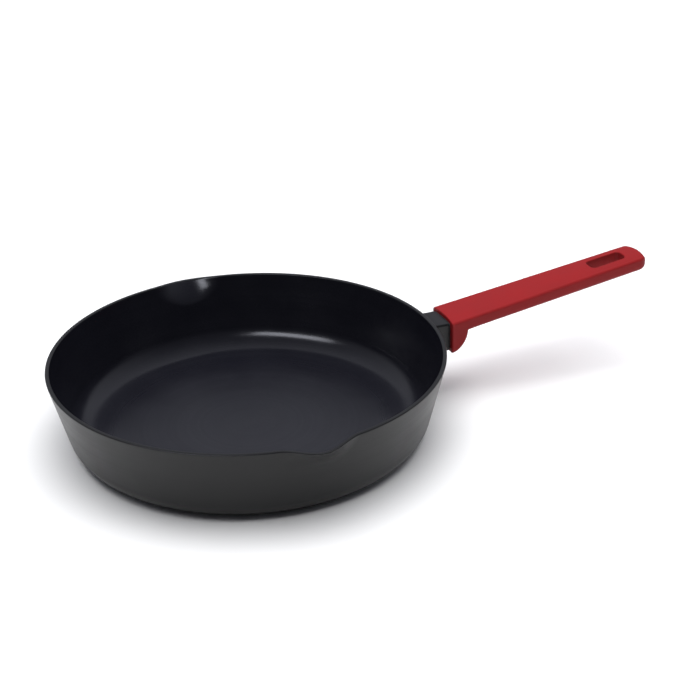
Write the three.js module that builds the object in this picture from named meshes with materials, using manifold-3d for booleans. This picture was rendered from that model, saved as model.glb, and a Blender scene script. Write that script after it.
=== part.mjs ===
// Cast iron skillet with two pour spouts and a red grip screwed to a cast neck.
// Units are millimetres, +Z is up and +X runs along the handle. The origin is the
// centre of the pan's flat base, on the surface that the skillet stands on.

import * as THREE from 'three';
import { mergeVertices } from 'three/addons/utils/BufferGeometryUtils.js';
import Module from 'manifold-3d';

const wasm = await Module();
wasm.setup();

// Pan
const PAN_HEIGHT = 59;
const RIM_RADIUS = 140;
const BASE_CORNER_RADIUS = 124.9;
const WALL_THICKNESS = 3.05;
const FLOOR_THICKNESS = 4.5;
const OUTER_FILLET = 19;
const INNER_FILLET = 19;
const WALL_LEAN = (RIM_RADIUS - BASE_CORNER_RADIUS) / PAN_HEIGHT;
const WALL_ANGLE = Math.atan(WALL_LEAN);

// Pour spouts, one on each side at right angles to the handle
const SPOUT_REACH = 7;
const SPOUT_DIP = 2.6;
const SPOUT_DEPTH = 18;
const SPOUT_HALF_ANGLE = THREE.MathUtils.degToRad(11.5);
const SPOUT_FLANK = 1;
const SPOUT_TAPER = 1.3;

// Neck, cast in one with the pan
const NECK_WIDTH = 25.4;
const NECK_TOP = 56.2;
const NECK_BOTTOM = 34.2;
const NECK_EDGE = 1.2;
const NECK_FACE_RADIUS = 151.6;

// Handle
const GAP = 0.3;
const GASKET_THICKNESS = 0.8;
const GASKET_INSET = 0.5;
const GRIP_START = NECK_FACE_RADIUS + GASKET_THICKNESS + 2 * GAP;
const GRIP_TIP = 318;
const GRIP_TILT = THREE.MathUtils.degToRad(7.5);
const GRIP_TOP = 58.35;
const GRIP_WIDTH_START = 33.2;
const GRIP_WIDTH_TIP = 27.8;
const GRIP_THICKNESS_START = 11.4;
const GRIP_THICKNESS_TIP = 12.3;
const CROWN_START = 1;
const CROWN_TIP = 2.1;
const GRIP_TOP_EDGE = 2;
const GRIP_BOTTOM_EDGE = 4.5;
const HEEL_BOTTOM_EDGE = 3;
const GRIP_FRONT_EDGE = 0.8;
const TIP_TOP_EDGE = 5.5;
const TIP_BOTTOM_EDGE = 1.8;
const TIP_CORNER = 7.5;
const TIP_BULGE = 0.4;
const HEEL_LENGTH = 13.3;
const HEEL_DEPTH = 15.8;
const HEEL_CENTRE_X = 152.1;
const HEEL_CENTRE_Z = 48.5;
const SKIN_THICKNESS = 1.6;
const LEAST_EDGE = 0.3;

// Hanging slot
const SLOT_CENTRE_X = 288.2;
const SLOT_LENGTH = 28.7;
const SLOT_WIDTH = 12.6;
const SLOT_CORNER = 3.5;

// Tongue on the handle core and boss round it
const TONGUE_WIDTH = 16;
const TONGUE_BOTTOM = 47.3;
const TONGUE_TOP = 52.3;
const TONGUE_TIP = 144;
const TONGUE_EDGE = 1;
const TONGUE_ROOT = 1;
const BOSS_WIDTH = 22;
const BOSS_BOTTOM = 39.4;
const BOSS_TOP = 54.3;
const BOSS_EDGE = 1.5;
const BOSS_ROOT = 3;

// Fixing screw, M4 with a low head, and the parts on its axis
const SCREW_AXIS_Z = 43.2;
const SCREW_RADIUS = 2;
const SCREW_HOLE_RADIUS = SCREW_RADIUS + GAP;
const SCREW_HEAD_RADIUS = 3.5;
const SCREW_HEAD_HEIGHT = 2.8;
const SCREW_SOCKET_RADIUS = 1.6;
const SCREW_SOCKET_DEPTH = 1.6;
const SCREW_CHAMFER = 0.5;
const SCREW_REACH = 11;
const TAPPED_DEPTH = 13;
const RECESS_RADIUS = 3.9;
const RECESS_FLOOR = 2.1;
const RECESS_END = 20;
const PLUG_INSET = 0.1;
const FLAT_WASHER_THICKNESS = 0.8;
const SPRING_WASHER_THICKNESS = 1;
const WASHER_OUTER_RADIUS = 3.5;
const WASHER_INNER_RADIUS = 2.3;
const SPRING_SPLIT = 0.8;
const SPRING_SPLIT_ANGLE = THREE.MathUtils.degToRad(40);

// How far a cutting tool or a rough blank runs past the surface that it meets
const RUN_PAST = 5;

// Fineness of the faceted surfaces
const ROUND_SEGMENTS = 160;
const ROD_SEGMENTS = 24;
const CORNER_SEGMENTS = 5;
const SPOUT_STEPS = 16;
const SPOUT_RINGS = 6;
const PLAIN_STEPS = 28;
const FILLET_STEPS = 6;
const CROWN_STEPS = 3;
const EDGE_STEPS = 3;
const FRONT_STEPS = 2;
const HEEL_STEPS = 7;
const BAR_STEPS = 8;
const TIP_STEPS = 6;

const CAST_IRON = { color: 0x26262a, roughness: 0.55, metalness: 0.35 };
const GASKET_BLACK = { color: 0x101012, roughness: 0.9, metalness: 0 };
const SOFT_RED = { color: 0xa4282d, roughness: 0.5, metalness: 0 };
const CORE_METAL = { color: 0x9a9ca0, roughness: 0.45, metalness: 0.9 };
const STEEL = { color: 0xb8babd, roughness: 0.3, metalness: 1 };

const skillet = new THREE.Group();

// ---- solids ----

// A manifold solid from a closed geometry
function solidFrom(geometry) {
  const bare = geometry.index ? geometry.toNonIndexed() : geometry.clone();
  bare.deleteAttribute('normal');
  bare.deleteAttribute('uv');
  const merged = mergeVertices(bare, 1e-5);
  return new wasm.Manifold(new wasm.Mesh({
    numProp: 3,
    vertProperties: new Float32Array(merged.attributes.position.array),
    triVerts: new Uint32Array(merged.index.array),
  }));
}

function geometryFrom(solid) {
  const mesh = solid.getMesh();
  const geometry = new THREE.BufferGeometry();
  geometry.setAttribute('position', new THREE.BufferAttribute(mesh.vertProperties, 3));
  geometry.setIndex(new THREE.BufferAttribute(mesh.triVerts, 1));
  return geometry;
}

function addPart(name, solid, finish) {
  const mesh = new THREE.Mesh(geometryFrom(solid), new THREE.MeshStandardMaterial(finish));
  mesh.name = name;
  skillet.add(mesh);
}

// A closed skin over rings of points, with a fan over each end. The rings turn
// anticlockwise as seen from the last ring, looking back to the first.
function loft(rings) {
  const count = rings[0].length;
  const positions = rings.flat().flatMap((point) => point.toArray());
  const index = [];
  for (let ring = 0; ring < rings.length - 1; ring++) {
    for (let i = 0; i < count; i++) {
      const here = ring * count + i;
      const beside = ring * count + ((i + 1) % count);
      index.push(here, beside, beside + count, here, beside + count, here + count);
    }
  }
  for (const last of [false, true]) {
    const ring = last ? rings.length - 1 : 0;
    const centre = new THREE.Vector3();
    rings[ring].forEach((point) => centre.addScaledVector(point, 1 / count));
    const hub = positions.length / 3;
    positions.push(...centre.toArray());
    for (let i = 0; i < count; i++) {
      const here = ring * count + i;
      const beside = ring * count + ((i + 1) % count);
      index.push(hub, last ? here : beside, last ? beside : here);
    }
  }
  const geometry = new THREE.BufferGeometry();
  geometry.setAttribute('position', new THREE.Float32BufferAttribute(positions, 3));
  geometry.setIndex(index);
  return solidFrom(geometry);
}

function roundedRectangle(width, height, radius) {
  const x = width / 2;
  const y = height / 2;
  const shape = new THREE.Shape();
  shape.moveTo(-x + radius, -y);
  shape.lineTo(x - radius, -y);
  shape.absarc(x - radius, -y + radius, radius, -Math.PI / 2, 0);
  shape.absarc(x - radius, y - radius, radius, 0, Math.PI / 2);
  shape.absarc(-x + radius, y - radius, radius, Math.PI / 2, Math.PI);
  shape.absarc(-x + radius, -y + radius, radius, Math.PI, Math.PI * 1.5);
  return shape;
}

function extruded(shape, depth) {
  const settings = { depth, bevelEnabled: false, curveSegments: CORNER_SEGMENTS };
  return new THREE.ExtrudeGeometry(shape, settings);
}

// A bar along X with a rounded section, between two heights
function barAlongX(startX, endX, width, bottom, top, edge) {
  const shape = roundedRectangle(width, top - bottom, edge);
  const geometry = extruded(shape, endX - startX);
  geometry.rotateX(Math.PI / 2);
  geometry.rotateZ(Math.PI / 2);
  geometry.translate(startX, 0, (bottom + top) / 2);
  return solidFrom(geometry);
}

// An upright cylinder on the pan's axis, tall enough to trim the neck and its gasket
function panCylinder(radius) {
  const geometry = new THREE.CylinderGeometry(radius, radius, 2 * PAN_HEIGHT, ROUND_SEGMENTS);
  geometry.rotateX(Math.PI / 2);
  geometry.translate(0, 0, PAN_HEIGHT / 2);
  return solidFrom(geometry);
}

// A turned solid on the screw's axis. Its profile holds [distance outwards from the
// grip's front face, radius], and the axis lies along the tilted handle.
function onScrewAxis(profile, segments = ROD_SEGMENTS) {
  const points = profile.map(([along, radius]) => new THREE.Vector2(radius, along));
  const geometry = new THREE.LatheGeometry(points, segments);
  geometry.rotateZ(-Math.PI / 2);
  geometry.rotateY(-GRIP_TILT);
  geometry.translate(GRIP_START, 0, SCREW_AXIS_Z);
  return solidFrom(geometry);
}

function screwRod(from, to, radius, segments) {
  return onScrewAxis([[from, 0], [from, radius], [to, radius], [to, 0]], segments);
}

// ---- pan ----

// How far the wall is pushed out at a spout, as a share of SPOUT_REACH
function spoutShare(angle, height) {
  const below = Math.max(PAN_HEIGHT - height, 0) / SPOUT_DEPTH;
  if (below >= 1) return 0;
  const offCentre = Math.min(Math.abs(angle - Math.PI / 2), Math.abs(angle + Math.PI / 2));
  const halfAngle = SPOUT_HALF_ANGLE * Math.sqrt(1 - below ** 2);
  const across = THREE.MathUtils.smoothstep((halfAngle - offCentre) / halfAngle, 0, SPOUT_FLANK);
  return across * (1 - below) ** SPOUT_TAPER;
}

// Angles round the pan, closer together at the spouts
function panAngles() {
  const angles = [];
  for (const centre of [-Math.PI / 2, Math.PI / 2]) {
    for (let i = 0; i < SPOUT_STEPS; i++) {
      angles.push(centre + SPOUT_HALF_ANGLE * ((2 * i) / SPOUT_STEPS - 1));
    }
    const plainSpan = Math.PI - 2 * SPOUT_HALF_ANGLE;
    for (let i = 0; i < PLAIN_STEPS; i++) {
      angles.push(centre + SPOUT_HALF_ANGLE + (plainSpan * i) / PLAIN_STEPS);
    }
  }
  return angles.map((angle) => (angle > Math.PI ? angle - 2 * Math.PI : angle));
}

// Rings up a round wall that leans out, from a flat bottom through a fillet
function vesselRings(bottom, cornerRadius, fillet, heights) {
  const filletHeight = bottom + fillet;
  const filletRadius = cornerRadius + WALL_LEAN * filletHeight - fillet / Math.cos(WALL_ANGLE);
  const profile = [];
  for (let i = 0; i <= FILLET_STEPS; i++) {
    const turn = ((Math.PI / 2 - WALL_ANGLE) * i) / FILLET_STEPS;
    profile.push([filletRadius + fillet * Math.sin(turn), filletHeight - fillet * Math.cos(turn)]);
  }
  heights.forEach((height) => profile.push([cornerRadius + WALL_LEAN * height, height]));
  return profile.map(([radius, height]) => panAngles().map((angle) => {
    const share = spoutShare(angle, height);
    const reach = radius + SPOUT_REACH * share;
    const dip = height >= PAN_HEIGHT ? SPOUT_DIP * share : 0;
    return new THREE.Vector3(reach * Math.cos(angle), reach * Math.sin(angle), height - dip);
  }));
}

// Heights from the foot of the spouts up to the rim
function spoutHeights() {
  const heights = [];
  for (let i = 0; i <= SPOUT_RINGS; i++) {
    heights.push(PAN_HEIGHT - SPOUT_DEPTH * (1 - i / SPOUT_RINGS));
  }
  return heights;
}

function makePan() {
  const outside = loft(vesselRings(0, BASE_CORNER_RADIUS, OUTER_FILLET, spoutHeights()));
  const inside = loft(vesselRings(
    FLOOR_THICKNESS, BASE_CORNER_RADIUS - WALL_THICKNESS, INNER_FILLET,
    [...spoutHeights(), PAN_HEIGHT + RUN_PAST],
  ));
  const neckEnd = NECK_FACE_RADIUS + RUN_PAST;
  const neck = barAlongX(BASE_CORNER_RADIUS, neckEnd, NECK_WIDTH, NECK_BOTTOM, NECK_TOP, NECK_EDGE)
    .intersect(panCylinder(NECK_FACE_RADIUS));
  const tappedHole = screwRod(-TAPPED_DEPTH, RUN_PAST, SCREW_HOLE_RADIUS);
  return outside.add(neck).subtract(inside).subtract(tongueBlock(GAP, neckEnd)).subtract(tappedHole);
}

// ---- handle ----

function alongGrip(x, atStart, atTip) {
  return atStart + ((atTip - atStart) * (x - GRIP_START)) / (GRIP_TIP - GRIP_START);
}

function gripTop(x) {
  return GRIP_TOP + (x - GRIP_START) * Math.tan(GRIP_TILT);
}

function gripUnderside(x) {
  return gripTop(x) - alongGrip(x, GRIP_THICKNESS_START, GRIP_THICKNESS_TIP);
}

// One upright section of the grip: a crowned top, flat sides and a flat underside
function gripSection(x, bottom, halfWidth, drop, inset) {
  const top = gripTop(x) - drop - inset;
  const side = halfWidth - inset;
  const crown = alongGrip(x, CROWN_START, CROWN_TIP);
  const topEdge = THREE.MathUtils.clamp(GRIP_TOP_EDGE - inset, LEAST_EDGE, side / 2);
  const pastHeel = THREE.MathUtils.smoothstep(x, HEEL_CENTRE_X, HEEL_CENTRE_X + 2 * HEEL_LENGTH);
  const fullEdge = THREE.MathUtils.lerp(HEEL_BOTTOM_EDGE, GRIP_BOTTOM_EDGE, pastHeel);
  const shoulder = side - topEdge;
  const crownDrop = (y) => crown * (y / halfWidth) ** 2;
  const shoulderTop = top - crownDrop(shoulder);
  const room = shoulderTop - topEdge - bottom - LEAST_EDGE;
  const bottomEdge = THREE.MathUtils.clamp(fullEdge - inset, LEAST_EDGE, Math.min(side / 2, room));
  const half = [];
  for (let i = 0; i <= CROWN_STEPS; i++) {
    const y = (shoulder * i) / CROWN_STEPS;
    half.push([y, top - crownDrop(y)]);
  }
  for (let i = 1; i <= EDGE_STEPS; i++) {
    const turn = (Math.PI / 2) * (i / EDGE_STEPS);
    half.push([shoulder + topEdge * Math.sin(turn), shoulderTop - topEdge * (1 - Math.cos(turn))]);
  }
  for (let i = 0; i <= EDGE_STEPS; i++) {
    const turn = (Math.PI / 2) * (i / EDGE_STEPS);
    half.push([side - bottomEdge * (1 - Math.cos(turn)), bottom + bottomEdge * (1 - Math.sin(turn))]);
  }
  half.push([0, bottom]);
  const other = half.slice(1, -1).map(([y, z]) => [-y, z]);
  return [...other, ...half.reverse()];
}

// How far an edge of the given radius has fallen away at x, next to the grip's tip
function roundedOff(x, tip, radius) {
  const into = Math.max(x - (tip - radius), 0);
  return radius - Math.sqrt(Math.max(radius ** 2 - into ** 2, 0));
}

// Places along the grip for its sections, each with how far the front edge cuts in there
function gripStations(inset) {
  const start = GRIP_START + inset;
  const frontEdge = Math.max(GRIP_FRONT_EDGE - inset, LEAST_EDGE);
  const heelLength = HEEL_LENGTH - inset;
  const heelEnd = HEEL_CENTRE_X + heelLength;
  const cornerStart = GRIP_TIP - TIP_CORNER;
  const stations = [[start - GRIP_FRONT_EDGE, frontEdge]];
  for (let i = 0; i < FRONT_STEPS; i++) {
    const turn = (Math.PI / 2) * (i / FRONT_STEPS);
    stations.push([start + frontEdge * (1 - Math.cos(turn)), frontEdge * (1 - Math.sin(turn))]);
  }
  const firstTurn = Math.asin((start + frontEdge - HEEL_CENTRE_X) / heelLength);
  for (let i = 0; i <= HEEL_STEPS; i++) {
    const turn = firstTurn + ((Math.PI / 2 - firstTurn) * i) / HEEL_STEPS;
    stations.push([HEEL_CENTRE_X + heelLength * Math.sin(turn), 0]);
  }
  stations.push([heelEnd + GAP, 0]);
  for (let i = 1; i <= BAR_STEPS; i++) {
    stations.push([heelEnd + ((cornerStart - heelEnd) * i) / BAR_STEPS, 0]);
  }
  for (let i = 1; i <= TIP_STEPS; i++) {
    stations.push([cornerStart + (TIP_CORNER - inset) * Math.sin((Math.PI / 2) * (i / TIP_STEPS)), 0]);
  }
  return stations;
}

// The grip's outer form, made smaller on every side by an inset. Its front face is
// hollowed to follow the neck's round end.
function gripForm(inset) {
  const start = GRIP_START + inset;
  const heelLength = HEEL_LENGTH - inset;
  const tip = GRIP_TIP - inset;
  const corner = TIP_CORNER - inset;
  const tipBottomEdge = Math.max(TIP_BOTTOM_EDGE - inset, LEAST_EDGE);
  const form = loft(gripStations(inset).map(([x, frontDrop]) => {
    const alongHeel = (x - HEEL_CENTRE_X) / heelLength;
    const heelDepth = (HEEL_DEPTH - inset) * Math.sqrt(Math.max(1 - alongHeel ** 2, 0));
    const heelBottom = HEEL_CENTRE_Z - heelDepth + frontDrop;
    const barBottom = gripUnderside(x) + inset + roundedOff(x, tip, tipBottomEdge);
    const bottom = alongHeel <= 1 ? heelBottom : barBottom;
    const narrowing = roundedOff(x, tip, corner) + frontDrop;
    const halfWidth = alongGrip(x, GRIP_WIDTH_START, GRIP_WIDTH_TIP) / 2 - narrowing;
    const topDrop = frontDrop + roundedOff(x, tip, TIP_TOP_EDGE - inset);
    const frontShare = THREE.MathUtils.clamp(1 - (x - start) / (2 * HEEL_LENGTH), 0, 1);
    const tipShare = THREE.MathUtils.smoothstep(x, tip - 3 * corner, tip);
    return gripSection(x, bottom, halfWidth, topDrop, inset).map(([y, z]) => {
      const hollow = frontShare * (start - Math.sqrt(start ** 2 - y ** 2));
      const bulge = tipShare * TIP_BULGE * (1 - (y / (GRIP_WIDTH_TIP / 2)) ** 2);
      return new THREE.Vector3(x - hollow + bulge, y, z);
    });
  }));
  return form.subtract(panCylinder(start));
}

// The hanging slot, square to the grip's top, made larger all round by an outset
function slotBlock(outset) {
  const length = SLOT_LENGTH + 2 * outset;
  const width = SLOT_WIDTH + 2 * outset;
  const depth = 4 * GRIP_THICKNESS_TIP;
  const geometry = extruded(roundedRectangle(length, width, SLOT_CORNER + outset), depth);
  geometry.translate(0, 0, -depth / 2);
  geometry.rotateY(-GRIP_TILT);
  geometry.translate(SLOT_CENTRE_X, 0, gripTop(SLOT_CENTRE_X) - GRIP_THICKNESS_TIP / 2);
  return solidFrom(geometry);
}

// The core's boss, which passes through the front of the grip's skin
function bossBlock(outset) {
  return barAlongX(
    GRIP_START - 2 * RUN_PAST, GRIP_START + SKIN_THICKNESS + BOSS_ROOT,
    BOSS_WIDTH + 2 * outset, BOSS_BOTTOM - outset, BOSS_TOP + outset, BOSS_EDGE + outset,
  );
}

// The core's tongue, which enters a pocket in the neck
function tongueBlock(outset, end) {
  return barAlongX(
    TONGUE_TIP - outset, end,
    TONGUE_WIDTH + 2 * outset, TONGUE_BOTTOM - outset, TONGUE_TOP + outset, TONGUE_EDGE + outset,
  );
}

function makeGripSkin() {
  const hollow = gripForm(SKIN_THICKNESS).subtract(slotBlock(SKIN_THICKNESS));
  return gripForm(0)
    .subtract(hollow)
    .subtract(slotBlock(0))
    .subtract(bossBlock(GAP))
    .subtract(screwRod(RECESS_FLOOR, RECESS_END, RECESS_RADIUS));
}

function makeCore() {
  const inset = SKIN_THICKNESS + GAP;
  return gripForm(inset)
    .add(bossBlock(0).subtract(panCylinder(GRIP_START)))
    .subtract(slotBlock(inset))
    .subtract(screwRod(RECESS_FLOOR, RECESS_END, RECESS_RADIUS))
    .subtract(screwRod(-RUN_PAST, RUN_PAST, SCREW_HOLE_RADIUS))
    .add(tongueBlock(0, GRIP_START + TONGUE_ROOT));
}

function makeGasket() {
  const inner = NECK_FACE_RADIUS + GAP;
  const blank = barAlongX(
    GRIP_START - RUN_PAST, GRIP_START + RUN_PAST, NECK_WIDTH - 2 * GASKET_INSET,
    NECK_BOTTOM + GASKET_INSET, NECK_TOP - GASKET_INSET, NECK_EDGE,
  );
  return blank
    .intersect(panCylinder(inner + GASKET_THICKNESS))
    .subtract(panCylinder(inner))
    .subtract(tongueBlock(GAP, GRIP_START + RUN_PAST))
    .subtract(screwRod(-RUN_PAST, RUN_PAST, SCREW_HOLE_RADIUS));
}

// ---- fixing ----

const FLAT_WASHER_START = RECESS_FLOOR + GAP;
const SPRING_WASHER_START = FLAT_WASHER_START + FLAT_WASHER_THICKNESS + GAP;
const HEAD_START = SPRING_WASHER_START + SPRING_WASHER_THICKNESS + GAP;
const HEAD_END = HEAD_START + SCREW_HEAD_HEIGHT;
const PLUG_START = HEAD_END + GAP;

function makeScrew() {
  const body = onScrewAxis([
    [-SCREW_REACH, 0],
    [-SCREW_REACH, SCREW_RADIUS - SCREW_CHAMFER],
    [-SCREW_REACH + SCREW_CHAMFER, SCREW_RADIUS],
    [HEAD_START, SCREW_RADIUS],
    [HEAD_START, SCREW_HEAD_RADIUS],
    [HEAD_END - SCREW_CHAMFER, SCREW_HEAD_RADIUS],
    [HEAD_END, SCREW_HEAD_RADIUS - SCREW_CHAMFER],
    [HEAD_END, 0],
  ]);
  const hexagon = 6;
  const socketFloor = HEAD_END - SCREW_SOCKET_DEPTH;
  return body.subtract(screwRod(socketFloor, HEAD_END + RUN_PAST, SCREW_SOCKET_RADIUS, hexagon));
}

function makeWasher(start, thickness) {
  const end = start + thickness;
  return onScrewAxis([
    [start, WASHER_INNER_RADIUS],
    [start, WASHER_OUTER_RADIUS],
    [end, WASHER_OUTER_RADIUS],
    [end, WASHER_INNER_RADIUS],
    [start, WASHER_INNER_RADIUS],
  ]);
}

function makeSpringWasher() {
  const axisZ = SCREW_AXIS_Z + SPRING_WASHER_START * Math.tan(GRIP_TILT);
  const slit = new THREE.BoxGeometry(4 * WASHER_OUTER_RADIUS, SPRING_SPLIT, 2 * WASHER_OUTER_RADIUS);
  slit.translate(0, 0, WASHER_OUTER_RADIUS);
  slit.rotateX(-SPRING_SPLIT_ANGLE);
  slit.translate(GRIP_START + SPRING_WASHER_START, 0, axisZ);
  return makeWasher(SPRING_WASHER_START, SPRING_WASHER_THICKNESS).subtract(solidFrom(slit));
}

// Its outer face follows the heel's curved back
function makePlug() {
  return screwRod(PLUG_START, RECESS_END, RECESS_RADIUS - GAP).intersect(gripForm(PLUG_INSET));
}

// ---- assembly ----

addPart('pan_body', makePan(), CAST_IRON);
addPart('heat_gasket', makeGasket(), GASKET_BLACK);
addPart('handle_core', makeCore(), CORE_METAL);
addPart('grip_skin', makeGripSkin(), SOFT_RED);
addPart('fixing_screw', makeScrew(), STEEL);
addPart('flat_washer', makeWasher(FLAT_WASHER_START, FLAT_WASHER_THICKNESS), STEEL);
addPart('spring_washer', makeSpringWasher(), STEEL);
addPart('screw_plug', makePlug(), SOFT_RED);

export default skillet;
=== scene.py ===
# A cast skillet with two pour spouts and a red soft-touch grip, built round its CAD frame.
# Units are metres, +Z is up and +X runs along the handle.

import math

import bmesh
import bpy
from mathutils import Matrix, Vector


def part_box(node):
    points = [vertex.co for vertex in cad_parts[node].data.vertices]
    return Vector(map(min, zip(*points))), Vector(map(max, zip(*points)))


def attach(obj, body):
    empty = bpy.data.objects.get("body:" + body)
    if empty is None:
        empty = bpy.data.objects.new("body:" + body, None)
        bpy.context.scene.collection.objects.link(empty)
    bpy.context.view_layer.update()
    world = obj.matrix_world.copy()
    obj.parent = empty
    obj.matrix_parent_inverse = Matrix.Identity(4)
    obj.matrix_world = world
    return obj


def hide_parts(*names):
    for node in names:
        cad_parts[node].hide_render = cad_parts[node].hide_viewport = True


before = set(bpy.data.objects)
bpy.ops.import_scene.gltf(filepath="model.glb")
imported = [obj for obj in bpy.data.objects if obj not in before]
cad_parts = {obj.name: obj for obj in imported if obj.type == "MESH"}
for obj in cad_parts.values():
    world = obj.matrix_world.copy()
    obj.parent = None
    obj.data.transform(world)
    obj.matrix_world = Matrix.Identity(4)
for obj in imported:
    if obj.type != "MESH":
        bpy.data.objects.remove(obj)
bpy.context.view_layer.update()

MM = 0.001
DEG = math.pi / 180

# ---- sizes that the frame gives ----

pan_low, pan_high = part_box("pan_body")
grip_low, grip_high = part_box("grip_skin")
gasket_low, gasket_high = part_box("heat_gasket")
core_low, core_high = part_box("handle_core")

GAP = 0.3 * MM
PAN_HEIGHT = pan_high.z
RIM_RADIUS = -pan_low.x
SPOUT_REACH = pan_high.y - RIM_RADIUS
NECK_FACE_RADIUS = pan_high.x
GRIP_START = gasket_high.x + GAP
TONGUE_TIP = core_low.x
GASKET_INSET = 0.5 * MM
NECK_WIDTH = gasket_high.y - gasket_low.y + 2 * GASKET_INSET
NECK_BOTTOM = gasket_low.z - GASKET_INSET
NECK_TOP = gasket_high.z + GASKET_INSET

# ---- sizes of the pan ----

BASE_CORNER_RADIUS = 124.9 * MM
WALL_THICKNESS = 3.05 * MM
FLOOR_THICKNESS = 4.5 * MM
OUTER_FILLET = 19 * MM
INNER_FILLET = 19 * MM
LIP_RADIUS = 0.7 * MM
WALL_LEAN = (RIM_RADIUS - BASE_CORNER_RADIUS) / PAN_HEIGHT
WALL_ANGLE = math.atan(WALL_LEAN)
HUB_RADIUS = 1.5 * MM
WORN_RADIUS = 78 * MM
FLOOR_EDGE_RADIUS = 108 * MM

SPOUT_DIP = 2.6 * MM
SPOUT_DEPTH = 18 * MM
SPOUT_HALF_ANGLE = 11.5 * DEG
SPOUT_FLANK = 1
SPOUT_TAPER = 1.3

NECK_EDGE = 1.6 * MM
NECK_ROOT_FILLET = 2 * MM
NECK_ROOT_DEPTH = 1.4 * MM

# ---- sizes of the handle ----

TIP_BULGE = 0.4 * MM
GRIP_TIP = grip_high.x - TIP_BULGE
GRIP_TILT = 7.5 * DEG
GRIP_TOP = 58.35 * MM
GRIP_WIDTH_START = 33.2 * MM
GRIP_WIDTH_TIP = 27.8 * MM
GRIP_THICKNESS_START = 11.4 * MM
GRIP_THICKNESS_TIP = 12.3 * MM
CROWN_START = 1 * MM
CROWN_TIP = 2.1 * MM
GRIP_TOP_EDGE = 2 * MM
GRIP_BOTTOM_EDGE = 4.5 * MM
HEEL_BOTTOM_EDGE = 3 * MM
GRIP_FRONT_EDGE = 0.8 * MM
TIP_TOP_EDGE = 5.5 * MM
TIP_BOTTOM_EDGE = 1.8 * MM
TIP_CORNER = 7.5 * MM
HEEL_LENGTH = 13.3 * MM
HEEL_DEPTH = 15.8 * MM
HEEL_CENTRE_X = 152.1 * MM
HEEL_CENTRE_Z = 48.5 * MM
HEEL_FILLET = 1.2 * MM
SKIN_THICKNESS = 1.6 * MM
LEAST_EDGE = 0.3 * MM

SLOT_CENTRE_X = 288.2 * MM
SLOT_LENGTH = 28.7 * MM
SLOT_WIDTH = 12.6 * MM
SLOT_CORNER = 3.5 * MM
SLOT_MOUTH = 0.9 * MM
SLOT_OVERCUT = 0.09 * MM

TONGUE_WIDTH = 16 * MM
TONGUE_BOTTOM = 47.3 * MM
TONGUE_TOP = 52.3 * MM
TONGUE_EDGE = 1 * MM
BOSS_WIDTH = 22 * MM
BOSS_BOTTOM = 39.4 * MM
BOSS_TOP = 54.3 * MM
BOSS_EDGE = 1.5 * MM

# ---- sizes of the fixing ----

SCREW_AXIS_Z = 43.2 * MM
SCREW_RADIUS = 2 * MM
SCREW_HOLE_RADIUS = SCREW_RADIUS + GAP
TAPPED_DEPTH = 13 * MM
RECESS_RADIUS = 3.9 * MM
RECESS_FLOOR = 2.1 * MM
RECESS_END = 20 * MM
PLUG_START = 7.9 * MM
PLUG_INSET = 0.1 * MM
RUN_PAST = 5 * MM

# ---- fineness of the meshes ----

SPOUT_STEPS = 72
PLAIN_STEPS = 116
FLAT_STEPS = 30
FILLET_STEPS = 22
WALL_STEPS = 34
LIP_STEPS = 6
CORNER_STEPS = 7
CROWN_STEPS = 12
SIDE_STEPS = 4
UNDER_STEPS = 12
FRONT_STEPS = 5
HEEL_STEPS = 30
BAR_STEPS = 84
TIP_STEPS = 26
CAP_STEPS = 2 * UNDER_STEPS
ROD_STEPS = 64
SMOOTH_ANGLE = 38 * DEG


def smoothstep(value, low, high):
    share = min(max((value - low) / (high - low), 0), 1)
    return share * share * (3 - 2 * share)


def steps(count):
    """Shares from 0 to 1, both included."""
    return [i / count for i in range(count + 1)]


# ---- meshes ----


def mesh_object(name, points, faces):
    mesh = bpy.data.meshes.new(name)
    mesh.from_pydata(points, [], faces)
    work = bmesh.new()
    work.from_mesh(mesh)
    bmesh.ops.recalc_face_normals(work, faces=work.faces)
    work.to_mesh(mesh)
    work.free()
    piece = bpy.data.objects.new(name, mesh)
    bpy.context.scene.collection.objects.link(piece)
    return piece


def quads_between(rings, count):
    """Faces of a skin over rings of points that are stored one after another."""
    faces = []
    for ring in range(rings - 1):
        for i in range(count):
            here = ring * count + i
            beside = ring * count + (i + 1) % count
            faces.append((here, beside, beside + count, here + count))
    return faces


def skin(name, rings):
    """A closed skin over rings of points, with a fan over each end."""
    count = len(rings[0])
    points = [point for ring in rings for point in ring]
    faces = quads_between(len(rings), count)
    for first in (0, (len(rings) - 1) * count):
        ring = points[first:first + count]
        hub = len(points)
        points.append(tuple(sum(axis) / count for axis in zip(*ring)))
        faces += [(hub, first + i, first + (i + 1) % count) for i in range(count)]
    return mesh_object(name, points, faces)


def combine(piece, tool, operation):
    """Joins the tool to the piece, or cuts with it, and removes the tool."""
    for material in piece.data.materials[:1]:
        tool.data.materials.append(material)
    modifier = piece.modifiers.new("combine", "BOOLEAN")
    modifier.operation = operation
    modifier.solver = "MANIFOLD"
    modifier.object = tool
    result = bpy.data.meshes.new_from_object(piece.evaluated_get(bpy.context.evaluated_depsgraph_get()))
    piece.modifiers.clear()
    piece.data = result
    bpy.data.objects.remove(tool)
    return piece


def rounded_outline(width, height, radius):
    """Points anticlockwise round a rectangle with round corners, centred on zero."""
    points = []
    for corner in range(4):
        side_x = 1 if corner in (0, 3) else -1
        side_y = 1 if corner in (0, 1) else -1
        centre_x = side_x * (width / 2 - radius)
        centre_y = side_y * (height / 2 - radius)
        for share in steps(CORNER_STEPS):
            turn = (corner + share) * math.pi / 2
            points.append((centre_x + radius * math.cos(turn), centre_y + radius * math.sin(turn)))
    return points


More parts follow.
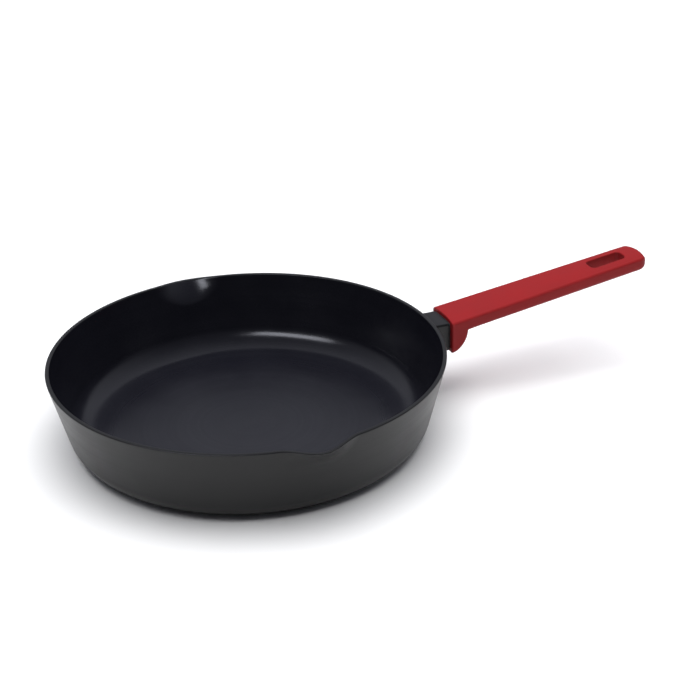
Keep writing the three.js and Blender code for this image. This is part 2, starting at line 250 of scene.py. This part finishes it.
def bar_along_x(name, start, end, width, bottom, top, edge):
    outline = rounded_outline(width, top - bottom, edge)
    middle = (top + bottom) / 2
    return skin(name, [[(x, y, middle + z) for y, z in outline] for x in (start, end)])


def on_screw_axis(name, profile, sides=ROD_STEPS):
    """A turned piece. Its profile holds (distance out of the grip's front face, radius)."""
    rings = []
    for along, radius in profile:
        ring = []
        for i in range(sides):
            turn = 2 * math.pi * i / sides
            out = along * math.cos(GRIP_TILT) - radius * math.sin(turn) * math.sin(GRIP_TILT)
            up = along * math.sin(GRIP_TILT) + radius * math.sin(turn) * math.cos(GRIP_TILT)
            ring.append((GRIP_START + out, radius * math.cos(turn), SCREW_AXIS_Z + up))
        rings.append(ring)
    return skin(name, rings)


def screw_rod(name, start, end, radius):
    return on_screw_axis(name, [(start, radius), (end, radius)])


def finish_surface(piece):
    """Smooth shading that keeps the real edges crisp."""
    piece.data.shade_smooth()
    piece.data.set_sharp_from_angle(angle=SMOOTH_ANGLE)


# ---- the pan's shape ----


def spout_share(angle, height):
    """How far the wall is pushed out at a spout, as a share of SPOUT_REACH."""
    below = max(PAN_HEIGHT - height, 0) / SPOUT_DEPTH
    if below >= 1:
        return 0
    off_centre = abs(abs(angle) - math.pi / 2)
    half_angle = SPOUT_HALF_ANGLE * math.sqrt(1 - below ** 2)
    across = smoothstep((half_angle - off_centre) / half_angle, 0, SPOUT_FLANK)
    return across * (1 - below) ** SPOUT_TAPER


def pan_angles():
    """Angles round the pan, closer together at the spouts."""
    plain_span = math.pi - 2 * SPOUT_HALF_ANGLE
    angles = []
    for centre in (-math.pi / 2, math.pi / 2):
        angles += [centre + SPOUT_HALF_ANGLE * (2 * i / SPOUT_STEPS - 1) for i in range(SPOUT_STEPS)]
        angles += [centre + SPOUT_HALF_ANGLE + plain_span * i / PLAIN_STEPS for i in range(PLAIN_STEPS)]
    return [angle - 2 * math.pi if angle > math.pi else angle for angle in angles]


def wall_radius(height):
    return BASE_CORNER_RADIUS + WALL_LEAN * height


def vessel_profile(bottom, inset, fillet):
    """Radius and height from near the axis, over a fillet and up the leaning wall."""
    corner = BASE_CORNER_RADIUS - inset
    fillet_height = bottom + fillet
    fillet_radius = corner + WALL_LEAN * fillet_height - fillet / math.cos(WALL_ANGLE)
    profile = [(HUB_RADIUS + (fillet_radius - HUB_RADIUS) * s, bottom) for s in steps(FLAT_STEPS)[:-1]]
    for share in steps(FILLET_STEPS):
        turn = (math.pi / 2 - WALL_ANGLE) * share
        radius = fillet_radius + fillet * math.sin(turn)
        profile.append((radius, fillet_height - fillet * math.cos(turn)))
    wall_foot = profile[-1][1]
    wall_top = PAN_HEIGHT - LIP_RADIUS * (1 + math.sin(WALL_ANGLE))
    for share in steps(WALL_STEPS)[1:]:
        height = wall_foot + (wall_top - wall_foot) * share
        profile.append((corner + WALL_LEAN * height, height))
    return profile


def lip_profile():
    """The rounded rim, from the outer wall over to the inner wall."""
    height = PAN_HEIGHT - LIP_RADIUS
    outer = wall_radius(height) - LIP_RADIUS / math.cos(WALL_ANGLE)
    inner = wall_radius(height) - WALL_THICKNESS + LIP_RADIUS / math.cos(WALL_ANGLE)
    profile = []
    for centre, start, end in ((outer, -WALL_ANGLE, math.pi / 2), (inner, math.pi / 2, math.pi - WALL_ANGLE)):
        for share in steps(LIP_STEPS):
            turn = start + (end - start) * share
            profile.append((centre + LIP_RADIUS * math.cos(turn), height + LIP_RADIUS * math.sin(turn)))
    return profile[1:-1]


def pan_ring(radius, height):
    ring = []
    for angle in pan_angles():
        share = spout_share(angle, height)
        reach = radius + SPOUT_REACH * share
        dip = SPOUT_DIP * share
        ring.append((reach * math.cos(angle), reach * math.sin(angle), height - dip))
    return ring


def neck():
    """The cast neck. It flares where it meets the wall and ends in a round face."""
    middle = (NECK_TOP + NECK_BOTTOM) / 2
    distances = [-NECK_ROOT_DEPTH]
    distances += [NECK_ROOT_FILLET * (1 - math.cos(share * math.pi / 2)) for share in steps(CORNER_STEPS)]
    reach = NECK_FACE_RADIUS - RIM_RADIUS
    distances += [NECK_ROOT_FILLET + (reach - NECK_ROOT_FILLET) * share for share in steps(CORNER_STEPS)[1:]]
    rings = []
    for distance in distances:
        into = max(NECK_ROOT_FILLET - max(distance, 0), 0)
        flare = NECK_ROOT_FILLET - math.sqrt(max(NECK_ROOT_FILLET ** 2 - into ** 2, 0))
        width = NECK_WIDTH + 2 * flare
        outline = rounded_outline(width, NECK_TOP - NECK_BOTTOM + 2 * flare, NECK_EDGE + flare)
        ring = []
        for y, z in outline:
            wall = math.sqrt(wall_radius(middle + z) ** 2 - y ** 2)
            face = math.sqrt(NECK_FACE_RADIUS ** 2 - y ** 2)
            ring.append((wall + distance * (face - wall) / reach, y, middle + z))
        rings.append(ring)
    return skin("neck", rings)


def tongue_pocket():
    return bar_along_x(
        "pocket", TONGUE_TIP - GAP, GRIP_START + RUN_PAST, TONGUE_WIDTH + 2 * GAP,
        TONGUE_BOTTOM - GAP, TONGUE_TOP + GAP, TONGUE_EDGE + GAP,
    )


def make_pan(outside_finish, inside_finish):
    outer = vessel_profile(0, 0, OUTER_FILLET)
    inner = vessel_profile(FLOOR_THICKNESS, WALL_THICKNESS, INNER_FILLET)
    lip = lip_profile()
    pan = skin("skillet_pan", [pan_ring(r, z) for r, z in outer + lip + inner[::-1]])
    pan.data.materials.append(outside_finish)
    pan.data.materials.append(inside_finish)
    count = len(pan_angles())
    first_inside = (len(outer) + len(lip) - 1) * count
    total = len(pan.data.polygons)
    under_base = range(total - 2 * count, total - count)
    for face in pan.data.polygons:
        inside = face.index >= first_inside and face.index not in under_base
        face.material_index = 1 if inside else 0
    combine(pan, neck(), "UNION")
    combine(pan, tongue_pocket(), "DIFFERENCE")
    combine(pan, screw_rod("hole", -TAPPED_DEPTH, RUN_PAST, SCREW_HOLE_RADIUS), "DIFFERENCE")
    finish_surface(pan)
    return pan


# ---- the grip's shape ----


def along_grip(x, at_start, at_tip):
    return at_start + (at_tip - at_start) * (x - GRIP_START) / (GRIP_TIP - GRIP_START)


def grip_top(x):
    return GRIP_TOP + (x - GRIP_START) * math.tan(GRIP_TILT)


def grip_underside(x):
    return grip_top(x) - along_grip(x, GRIP_THICKNESS_START, GRIP_THICKNESS_TIP)


def rounded_off(x, tip, radius):
    """How far an edge of this radius has fallen away at x, next to the grip's tip."""
    into = max(x - (tip - radius), 0)
    return radius - math.sqrt(max(radius ** 2 - into ** 2, 0))


def half_section(x, bottom, half_width, top_drop, inset):
    """One side of an upright section, from the middle of the crown to the middle underneath."""
    top = grip_top(x) - top_drop - inset
    side = half_width - inset
    crown = along_grip(x, CROWN_START, CROWN_TIP)
    top_edge = min(max(GRIP_TOP_EDGE - inset, LEAST_EDGE), side / 2)
    past_heel = smoothstep(x, HEEL_CENTRE_X, HEEL_CENTRE_X + 2 * HEEL_LENGTH)
    full_edge = HEEL_BOTTOM_EDGE + (GRIP_BOTTOM_EDGE - HEEL_BOTTOM_EDGE) * past_heel
    shoulder = side - top_edge
    shoulder_top = top - crown * (shoulder / half_width) ** 2
    room = shoulder_top - top_edge - bottom - LEAST_EDGE
    bottom_edge = min(max(full_edge - inset, LEAST_EDGE), side / 2, room)
    half = []
    for share in steps(CROWN_STEPS):
        y = shoulder * share
        half.append((y, top - crown * (y / half_width) ** 2))
    for share in steps(CORNER_STEPS)[1:]:
        turn = share * math.pi / 2
        half.append((shoulder + top_edge * math.sin(turn), shoulder_top - top_edge * (1 - math.cos(turn))))
    side_top = half[-1][1]
    side_foot = bottom + bottom_edge
    for share in steps(SIDE_STEPS)[1:]:
        half.append((side, side_top + (side_foot - side_top) * share))
    for share in steps(CORNER_STEPS)[1:]:
        turn = share * math.pi / 2
        half.append((side - bottom_edge * (1 - math.cos(turn)), bottom + bottom_edge * (1 - math.sin(turn))))
    foot = half[-1][0]
    for share in steps(UNDER_STEPS)[1:]:
        half.append((foot * (1 - share), bottom))
    return half


def grip_stations(inset):
    """Places along the grip for its sections, each with how far the front edge cuts in there."""
    start = GRIP_START + inset
    front_edge = max(GRIP_FRONT_EDGE - inset, LEAST_EDGE)
    heel_length = HEEL_LENGTH - inset
    heel_end = HEEL_CENTRE_X + heel_length
    corner_start = GRIP_TIP - TIP_CORNER
    stations = []
    for share in steps(FRONT_STEPS)[:-1]:
        turn = share * math.pi / 2
        stations.append((start + front_edge * (1 - math.cos(turn)), front_edge * (1 - math.sin(turn))))
    first_turn = math.asin((start + front_edge - HEEL_CENTRE_X) / heel_length)
    for share in steps(HEEL_STEPS):
        turn = first_turn + (math.pi / 2 - first_turn) * share
        stations.append((HEEL_CENTRE_X + heel_length * math.sin(turn), 0))
    for share in steps(CORNER_STEPS)[1:]:
        stations.append((heel_end + HEEL_FILLET * (1 - math.cos(share * math.pi / 2)), 0))
    bar_start = heel_end + HEEL_FILLET
    stations += [(bar_start + (corner_start - bar_start) * share, 0) for share in steps(BAR_STEPS)[1:]]
    corner = TIP_CORNER - inset
    stations += [(corner_start + corner * math.sin(share * math.pi / 2), 0) for share in steps(TIP_STEPS)[1:]]
    return stations


def grip_bottom(x, front_drop, tip, inset):
    """Height of the underside: the heel's curve, a small fillet, then the bar up to the tip."""
    heel_length = HEEL_LENGTH - inset
    heel_end = HEEL_CENTRE_X + heel_length
    bar_bottom = grip_underside(x) + inset + rounded_off(x, tip, max(TIP_BOTTOM_EDGE - inset, LEAST_EDGE))
    if x >= heel_end + HEEL_FILLET:
        return bar_bottom
    fillet_foot = grip_underside(heel_end) + inset - HEEL_FILLET
    if x > heel_end:
        into = HEEL_FILLET - (x - heel_end)
        return bar_bottom - HEEL_FILLET + math.sqrt(HEEL_FILLET ** 2 - into ** 2)
    along = (x - HEEL_CENTRE_X) / heel_length
    depth = (HEEL_DEPTH - inset) * math.sqrt(max(1 - along ** 2, 0))
    return min(HEEL_CENTRE_Z - depth + front_drop, fillet_foot)


def grip_form(name, inset):
    """The grip's outer form, made smaller on every side by an inset."""
    start = GRIP_START + inset
    tip = GRIP_TIP - inset
    corner = TIP_CORNER - inset
    rings = []
    for x, front_drop in grip_stations(inset):
        bottom = grip_bottom(x, front_drop, tip, inset)
        narrowing = rounded_off(x, tip, corner) + front_drop
        half_width = along_grip(x, GRIP_WIDTH_START, GRIP_WIDTH_TIP) / 2 - narrowing
        top_drop = front_drop + rounded_off(x, tip, TIP_TOP_EDGE - inset)
        half = half_section(x, bottom, half_width, top_drop, inset)
        front_share = min(max(1 - (x - start) / (2 * HEEL_LENGTH), 0), 1)
        tip_share = smoothstep(x, tip - 3 * corner, tip)
        ring = []
        for y, z in half + [(-y, z) for y, z in half[-2:0:-1]]:
            hollow = front_share * (start - math.sqrt(start ** 2 - y ** 2))
            bulge = tip_share * TIP_BULGE * (1 - (2 * y / GRIP_WIDTH_TIP) ** 2)
            ring.append((x - hollow + bulge, y, z))
        rings.append(ring)
    return capped_form(name, rings, start, tip)


def capped_form(name, rings, start, tip):
    """A skin over the grip's rings. Rows of faces from side to side close its two ends."""
    count = len(rings[0])
    points = [point for ring in rings for point in ring]
    faces = quads_between(len(rings), count)
    foot = count // 2 - UNDER_STEPS
    ends = (
        (0, lambda y: math.sqrt(start ** 2 - y ** 2)),
        ((len(rings) - 1) * count, lambda y: tip + TIP_BULGE * (1 - (2 * y / GRIP_WIDTH_TIP) ** 2)),
    )
    for first, surface in ends:
        rows = [[first] * (CAP_STEPS + 1)]
        for i in range(1, foot):
            _, y, z = points[first + i]
            row = [first + i]
            for share in steps(CAP_STEPS)[1:-1]:
                across = y * (1 - 2 * share)
                row.append(len(points))
                points.append((surface(across), across, z))
            rows.append(row + [first + count - i])
        rows.append([first + i for i in range(foot, foot + CAP_STEPS + 1)])
        for upper, lower in zip(rows, rows[1:]):
            for i in range(CAP_STEPS):
                corners = (upper[i], upper[i + 1], lower[i + 1], lower[i])
                faces.append(tuple(dict.fromkeys(corners)))
    return mesh_object(name, points, faces)


def slot_ring(offset, depth, from_top):
    """One ring round the hanging slot, a depth below the crowned top or above the underside."""
    half_width = along_grip(SLOT_CENTRE_X, GRIP_WIDTH_START, GRIP_WIDTH_TIP) / 2
    crown = along_grip(SLOT_CENTRE_X, CROWN_START, CROWN_TIP)
    thickness = along_grip(SLOT_CENTRE_X, GRIP_THICKNESS_START, GRIP_THICKNESS_TIP)
    top = grip_top(SLOT_CENTRE_X)
    ring = []
    for u, v in rounded_outline(SLOT_LENGTH + 2 * offset, SLOT_WIDTH + 2 * offset, SLOT_CORNER + offset):
        surface = -crown * (v / half_width) ** 2 if from_top else -thickness
        w = surface * math.cos(GRIP_TILT) + (-depth if from_top else depth)
        x = SLOT_CENTRE_X + u * math.cos(GRIP_TILT) - w * math.sin(GRIP_TILT)
        ring.append((x, v, top + u * math.sin(GRIP_TILT) + w * math.cos(GRIP_TILT)))
    return ring


def slot_tool():
    """The slot with a rounded mouth at each face."""
    mouth = []
    for share in steps(CORNER_STEPS):
        turn = share * math.pi / 2
        mouth.append((SLOT_MOUTH * (1 - math.cos(turn)), SLOT_MOUTH * (1 - math.sin(turn))))
    mouth.append((SLOT_MOUTH + SLOT_OVERCUT, -SLOT_MOUTH))
    lower = [slot_ring(offset, depth, False) for offset, depth in mouth[::-1]]
    upper = [slot_ring(offset, depth, True) for offset, depth in mouth]
    return skin("slot", lower + upper)


def slot_block(offset):
    return skin("slot_block", [slot_ring(offset, -RUN_PAST, False), slot_ring(offset, -RUN_PAST, True)])


def make_grip(finish):
    grip = grip_form("soft_grip", 0)
    grip.data.materials.append(finish)
    combine(grip, slot_tool(), "DIFFERENCE")
    hollow = combine(grip_form("hollow", SKIN_THICKNESS), slot_block(SKIN_THICKNESS), "DIFFERENCE")
    combine(grip, hollow, "DIFFERENCE")
    boss = bar_along_x(
        "boss", GRIP_START - RUN_PAST, GRIP_START + 2 * SKIN_THICKNESS, BOSS_WIDTH + 2 * GAP,
        BOSS_BOTTOM - GAP, BOSS_TOP + GAP, BOSS_EDGE + GAP,
    )
    combine(grip, boss, "DIFFERENCE")
    combine(grip, screw_rod("recess", RECESS_FLOOR, RECESS_END, RECESS_RADIUS), "DIFFERENCE")
    finish_surface(grip)
    return grip


def make_plug(finish):
    plug = screw_rod("screw_plug_cap", PLUG_START, RECESS_END, RECESS_RADIUS - GAP)
    plug.data.materials.append(finish)
    combine(plug, grip_form("heel_back", PLUG_INSET), "INTERSECT")
    finish_surface(plug)
    return plug


# ---- materials ----


class Finish:
    """A procedural material. Its textures read the piece's own place, in metres."""

    def __init__(self, name, colour, roughness, **settings):
        self.material = bpy.data.materials.new(name)
        self.material.use_nodes = True
        self.tree = self.material.node_tree
        self.shader = self.tree.nodes["Principled BSDF"]
        self.place = self.tree.nodes.new("ShaderNodeTexCoord").outputs["Object"]
        self.set("Base Color", (*colour, 1))
        self.set("Roughness", roughness)
        for socket, value in settings.items():
            self.set(socket.replace("_", " "), value)

    def set(self, socket, value):
        self.shader.inputs[socket].default_value = value

    def link(self, output, socket):
        self.tree.links.new(output, socket)

    def feed(self, sockets, values):
        """Gives each socket its number, or links it to its value."""
        for socket, value in zip(sockets, values):
            if isinstance(value, (int, float)):
                socket.default_value = value
            else:
                self.link(value, socket)

    def stretched(self, scale):
        """The place, scaled differently along each axis."""
        mapping = self.tree.nodes.new("ShaderNodeMapping")
        mapping.inputs["Scale"].default_value = scale
        self.link(self.place, mapping.inputs["Vector"])
        return mapping.outputs["Vector"]

    def noise(self, size, detail=3, place=None, rough=0.5):
        """Noise whose features are about the given size, in metres."""
        node = self.tree.nodes.new("ShaderNodeTexNoise")
        node.inputs["Scale"].default_value = 1 / size
        node.inputs["Detail"].default_value = detail
        node.inputs["Roughness"].default_value = rough
        self.link(place or self.place, node.inputs["Vector"])
        return node.outputs["Fac"]

    def ramp(self, value, low, high, from_low=0.3, from_high=0.7):
        """A number moved from one range to another."""
        node = self.tree.nodes.new("ShaderNodeMapRange")
        node.inputs["From Min"].default_value = from_low
        node.inputs["From Max"].default_value = from_high
        node.inputs["To Min"].default_value = low
        node.inputs["To Max"].default_value = high
        self.link(value, node.inputs["Value"])
        return node.outputs["Result"]

    def math(self, operation, first, second=0.0):
        node = self.tree.nodes.new("ShaderNodeMath")
        node.operation = operation
        self.feed(node.inputs, (first, second))
        return node.outputs["Value"]

    def split(self):
        node = self.tree.nodes.new("ShaderNodeSeparateXYZ")
        self.link(self.place, node.inputs["Vector"])
        return node.outputs["X"], node.outputs["Y"], node.outputs["Z"]

    def radius(self):
        """Distance from the pan's axis."""
        x, y, _ = self.split()
        return self.math("SQRT", self.math("ADD", self.math("MULTIPLY", x, x), self.math("MULTIPLY", y, y)))

    def place_from(self, x, y, z):
        node = self.tree.nodes.new("ShaderNodeCombineXYZ")
        self.feed(node.inputs, (x, y, z))
        return node.outputs["Vector"]

    def colour_between(self, share, dark, light):
        node = self.tree.nodes.new("ShaderNodeMix")
        node.data_type = "RGBA"
        node.inputs["A"].default_value = (*dark, 1)
        node.inputs["B"].default_value = (*light, 1)
        self.link(share, node.inputs["Factor"])
        self.link(node.outputs["Result"], self.shader.inputs["Base Color"])

    def roughness_from(self, value):
        self.link(value, self.shader.inputs["Roughness"])

    def bumps(self, *layers):
        """Each layer is a height and the depth that it stands for, in metres."""
        normal = None
        for height, depth in layers:
            node = self.tree.nodes.new("ShaderNodeBump")
            node.inputs["Strength"].default_value = 1
            node.inputs["Distance"].default_value = depth
            self.link(height, node.inputs["Height"])
            if normal:
                self.link(normal, node.inputs["Normal"])
            normal = node.outputs["Normal"]
        self.link(normal, self.shader.inputs["Normal"])


def cast_finish(name, dark, light, roughness, centre_roughness, grain, turning):
    """Coated casting: fine grain, slow blotches and faint rings left by turning."""
    finish = Finish(name, dark, roughness, Specular_IOR_Level=0.34)
    _, _, z = finish.split()
    radius = finish.radius()
    ring_place = finish.place_from(radius, z, 0.0)
    rings = finish.noise(2.4 * MM, 1, ring_place)
    broad_rings = finish.noise(9 * MM, 2, ring_place)
    blotches = finish.noise(26 * MM, 4)
    pores = finish.noise(0.55 * MM, 3)
    mixed = finish.math("MULTIPLY", finish.math("ADD", blotches, broad_rings), 0.5)
    finish.colour_between(finish.ramp(mixed, 0, 1, 0.35, 0.65), dark, light)
    ring_part = finish.math("MULTIPLY", rings, 0.4)
    blotch_part = finish.math("MULTIPLY", blotches, 0.6)
    rough_share = finish.math("ADD", ring_part, blotch_part)
    variation = finish.ramp(rough_share, -0.04, 0.04, 0.35, 0.65)
    worn = finish.ramp(radius, centre_roughness, roughness, WORN_RADIUS, FLOOR_EDGE_RADIUS)
    finish.roughness_from(finish.math("ADD", worn, variation))
    finish.bumps((rings, turning), (pores, grain))
    return finish.material


def outside_finish():
    return cast_finish(
        "coated_iron_outside",
        dark=(0.0024, 0.0024, 0.0027),
        light=(0.0034, 0.0034, 0.0038),
        roughness=0.36,
        centre_roughness=0.36,
        grain=0.03 * MM,
        turning=0.02 * MM,
    )


def inside_finish():
    """Smoother than the outside, and a little duller in the middle of the floor, where food is turned."""
    return cast_finish(
        "coated_iron_inside",
        dark=(0.0062, 0.0063, 0.0096),
        light=(0.0084, 0.0085, 0.0124),
        roughness=0.2,
        centre_roughness=0.4,
        grain=0.012 * MM,
        turning=0.006 * MM,
    )


def grip_finish():
    finish = Finish("soft_touch_red", (0.235, 0.008, 0.0095), 0.55, Specular_IOR_Level=0.2)
    blotches = finish.noise(18 * MM, 3)
    finish.colour_between(finish.ramp(blotches, 0, 1), (0.225, 0.0074, 0.0088), (0.245, 0.0086, 0.0102))
    grain = finish.noise(0.28 * MM, 2)
    finish.roughness_from(finish.ramp(blotches, 0.52, 0.6))
    finish.bumps((finish.noise(3 * MM, 2), 0.02 * MM), (grain, 0.012 * MM))
    return finish.material


def rubber_finish():
    finish = Finish("black_heat_rubber", (0.012, 0.012, 0.012), 0.7)
    speckle = finish.noise(0.4 * MM, 3)
    finish.colour_between(finish.ramp(speckle, 0, 1), (0.009, 0.009, 0.009), (0.018, 0.018, 0.018))
    finish.roughness_from(finish.ramp(speckle, 0.62, 0.8))
    finish.bumps((speckle, 0.03 * MM))
    return finish.material


def die_cast_finish():
    finish = Finish("die_cast_metal", (0.5, 0.51, 0.53), 0.42, Metallic=1)
    mottle = finish.noise(4 * MM, 5, None, 0.65)
    finish.colour_between(finish.ramp(mottle, 0, 1), (0.42, 0.43, 0.45), (0.58, 0.59, 0.6))
    finish.roughness_from(finish.ramp(mottle, 0.34, 0.52))
    finish.bumps((mottle, 0.05 * MM), (finish.noise(0.5 * MM, 2), 0.02 * MM))
    return finish.material


def steel_finish():
    finish = Finish("turned_steel", (0.6, 0.6, 0.61), 0.28, Metallic=1)
    lines = finish.noise(0.3 * MM, 3, finish.stretched((6, 1, 1)))
    finish.colour_between(finish.ramp(lines, 0, 1), (0.52, 0.52, 0.53), (0.66, 0.66, 0.67))
    finish.roughness_from(finish.ramp(lines, 0.2, 0.36))
    finish.bumps((lines, 0.01 * MM))
    return finish.material


# ---- camera, floor and light ----

VIEW_AZIMUTH = -22 * DEG
VIEW_ELEVATION = 26.27 * DEG
VIEW_ROLL = 1.57 * DEG
VIEW_DISTANCE = 1118.3 * MM
VIEW_SIDE = 64.1 * MM
VIEW_LIFT = 9.3 * MM
LENS = 85.2

FLOOR_HALF = 6
FLOOR_SHADE = 0.82
FLOOR_ROUGHNESS = 0.9

COOL_WHITE = (0.88, 0.9, 1)
OVERHEAD_HEIGHT = 2.5
OVERHEAD_SIZE = (3, 3)
OVERHEAD_RADIANCE = 4
STRIP_AZIMUTH = -32 * DEG
STRIP_ELEVATION = 41 * DEG
STRIP_DISTANCE = 1.8
STRIP_SIZE = (1.5, 0.46)
STRIP_RADIANCE = 9.5

# The room's strength in front and behind, where it turns from one to the other,
# its share of that near the floor, and the heights between which it rises
ROOM_FRONT = 0.1
ROOM_BACK = 0.68
ROOM_TURN = (-0.7, 0.6)
ROOM_FOOT = 0.2
ROOM_RISE = (0.12, 0.42)


def make_camera():
    """A camera that looks at the rim's centre from a little to one side."""
    forward = Vector((
        -math.sin(VIEW_AZIMUTH) * math.cos(VIEW_ELEVATION),
        math.cos(VIEW_AZIMUTH) * math.cos(VIEW_ELEVATION),
        -math.sin(VIEW_ELEVATION),
    ))
    right = Vector((math.cos(VIEW_AZIMUTH), math.sin(VIEW_AZIMUTH), 0))
    up = right.cross(forward)
    rim_centre = Vector((0, 0, PAN_HEIGHT))
    data = bpy.data.cameras.new("camera")
    data.lens = LENS
    camera = bpy.data.objects.new("camera", data)
    bpy.context.scene.collection.objects.link(camera)
    rolled_right = right * math.cos(VIEW_ROLL) - up * math.sin(VIEW_ROLL)
    rolled_up = up * math.cos(VIEW_ROLL) + right * math.sin(VIEW_ROLL)
    turn = Matrix((rolled_right, rolled_up, -forward)).transposed().to_4x4()
    place = rim_centre + right * VIEW_SIDE + up * VIEW_LIFT - forward * VIEW_DISTANCE
    camera.matrix_world = Matrix.Translation(place) @ turn
    bpy.context.scene.camera = camera


def make_floor():
    corners = ((-1, -1), (1, -1), (1, 1), (-1, 1))
    points = [(x * FLOOR_HALF, y * FLOOR_HALF, 0) for x, y in corners]
    floor = mesh_object("floor", points, [(0, 1, 2, 3)])
    finish = Finish("pale_floor", (FLOOR_SHADE,) * 3, FLOOR_ROUGHNESS, Specular_IOR_Level=0.0)
    floor.data.materials.append(finish.material)


def softbox(name, azimuth, elevation, distance, size, radiance):
    """A soft light, placed by its direction from the pan. Azimuth 0 is the camera's side."""
    around = VIEW_AZIMUTH + azimuth
    towards = Vector((
        math.sin(around) * math.cos(elevation),
        -math.cos(around) * math.cos(elevation),
        math.sin(elevation),
    ))
    data = bpy.data.lights.new(name, "AREA")
    data.shape = "RECTANGLE"
    data.size, data.size_y = size
    data.energy = radiance * math.pi * size[0] * size[1]
    light = bpy.data.objects.new(name, data)
    bpy.context.scene.collection.objects.link(light)
    light.location = towards * distance
    light.rotation_euler = towards.to_track_quat("Z", "Y").to_euler()
    return light


def eased(tree, value, from_low, from_high, low, high):
    """A number moved smoothly from one range to another."""
    node = tree.nodes.new("ShaderNodeMapRange")
    node.interpolation_type = "SMOOTHSTEP"
    node.inputs["From Min"].default_value = from_low
    node.inputs["From Max"].default_value = from_high
    node.inputs["To Min"].default_value = low
    node.inputs["To Max"].default_value = high
    tree.links.new(value, node.inputs["Value"])
    return node.outputs["Result"]


def make_world():
    """A pale room, dimmer on the camera's side than behind the skillet, and dimmer near the floor."""
    world = bpy.data.worlds.new("studio")
    world.use_nodes = True
    tree = world.node_tree
    direction = tree.nodes.new("ShaderNodeTexCoord").outputs["Generated"]
    backward = tree.nodes.new("ShaderNodeVectorMath")
    backward.operation = "DOT_PRODUCT"
    backward.inputs[1].default_value = (-math.sin(VIEW_AZIMUTH), math.cos(VIEW_AZIMUTH), 0)
    tree.links.new(direction, backward.inputs[0])
    upward = tree.nodes.new("ShaderNodeSeparateXYZ")
    tree.links.new(direction, upward.inputs["Vector"])
    strength = tree.nodes.new("ShaderNodeMath")
    strength.operation = "MULTIPLY"
    depth = eased(tree, backward.outputs["Value"], *ROOM_TURN, ROOM_FRONT, ROOM_BACK)
    height = eased(tree, upward.outputs["Z"], *ROOM_RISE, ROOM_FOOT, 1)
    tree.links.new(depth, strength.inputs[0])
    tree.links.new(height, strength.inputs[1])
    background = tree.nodes["Background"]
    background.inputs["Color"].default_value = (*COOL_WHITE, 1)
    tree.links.new(strength.outputs["Value"], background.inputs["Strength"])
    bpy.context.scene.world = world


def make_lights():
    """The overhead light stays out of reflections, and the strip shows only in them."""
    make_world()
    overhead = softbox("overhead", 0, 90 * DEG, OVERHEAD_HEIGHT, OVERHEAD_SIZE, OVERHEAD_RADIANCE)
    overhead.visible_glossy = False
    strip = softbox(
        "front_strip", STRIP_AZIMUTH, STRIP_ELEVATION, STRIP_DISTANCE, STRIP_SIZE, STRIP_RADIANCE,
    )
    strip.visible_diffuse = False
    strip.data.color = COOL_WHITE
    bpy.context.scene.view_settings.view_transform = "Standard"


# ---- assembly ----


def build():
    make_camera()
    make_floor()
    make_lights()
    red = grip_finish()
    steel = steel_finish()
    replaced = (
        (make_pan(outside_finish(), inside_finish()), "pan_body", "cast_iron"),
        (make_grip(red), "grip_skin", "grip"),
        (make_plug(red), "screw_plug", "grip"),
    )
    for piece, node, slot in replaced:
        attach(piece, "root")
        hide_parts(node)
    kept = (
        ("heat_gasket", rubber_finish()),
        ("handle_core", die_cast_finish()),
        ("fixing_screw", steel),
        ("flat_washer", steel),
        ("spring_washer", steel),
    )
    for node, finish in kept:
        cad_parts[node].data.materials.clear()
        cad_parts[node].data.materials.append(finish)


build()
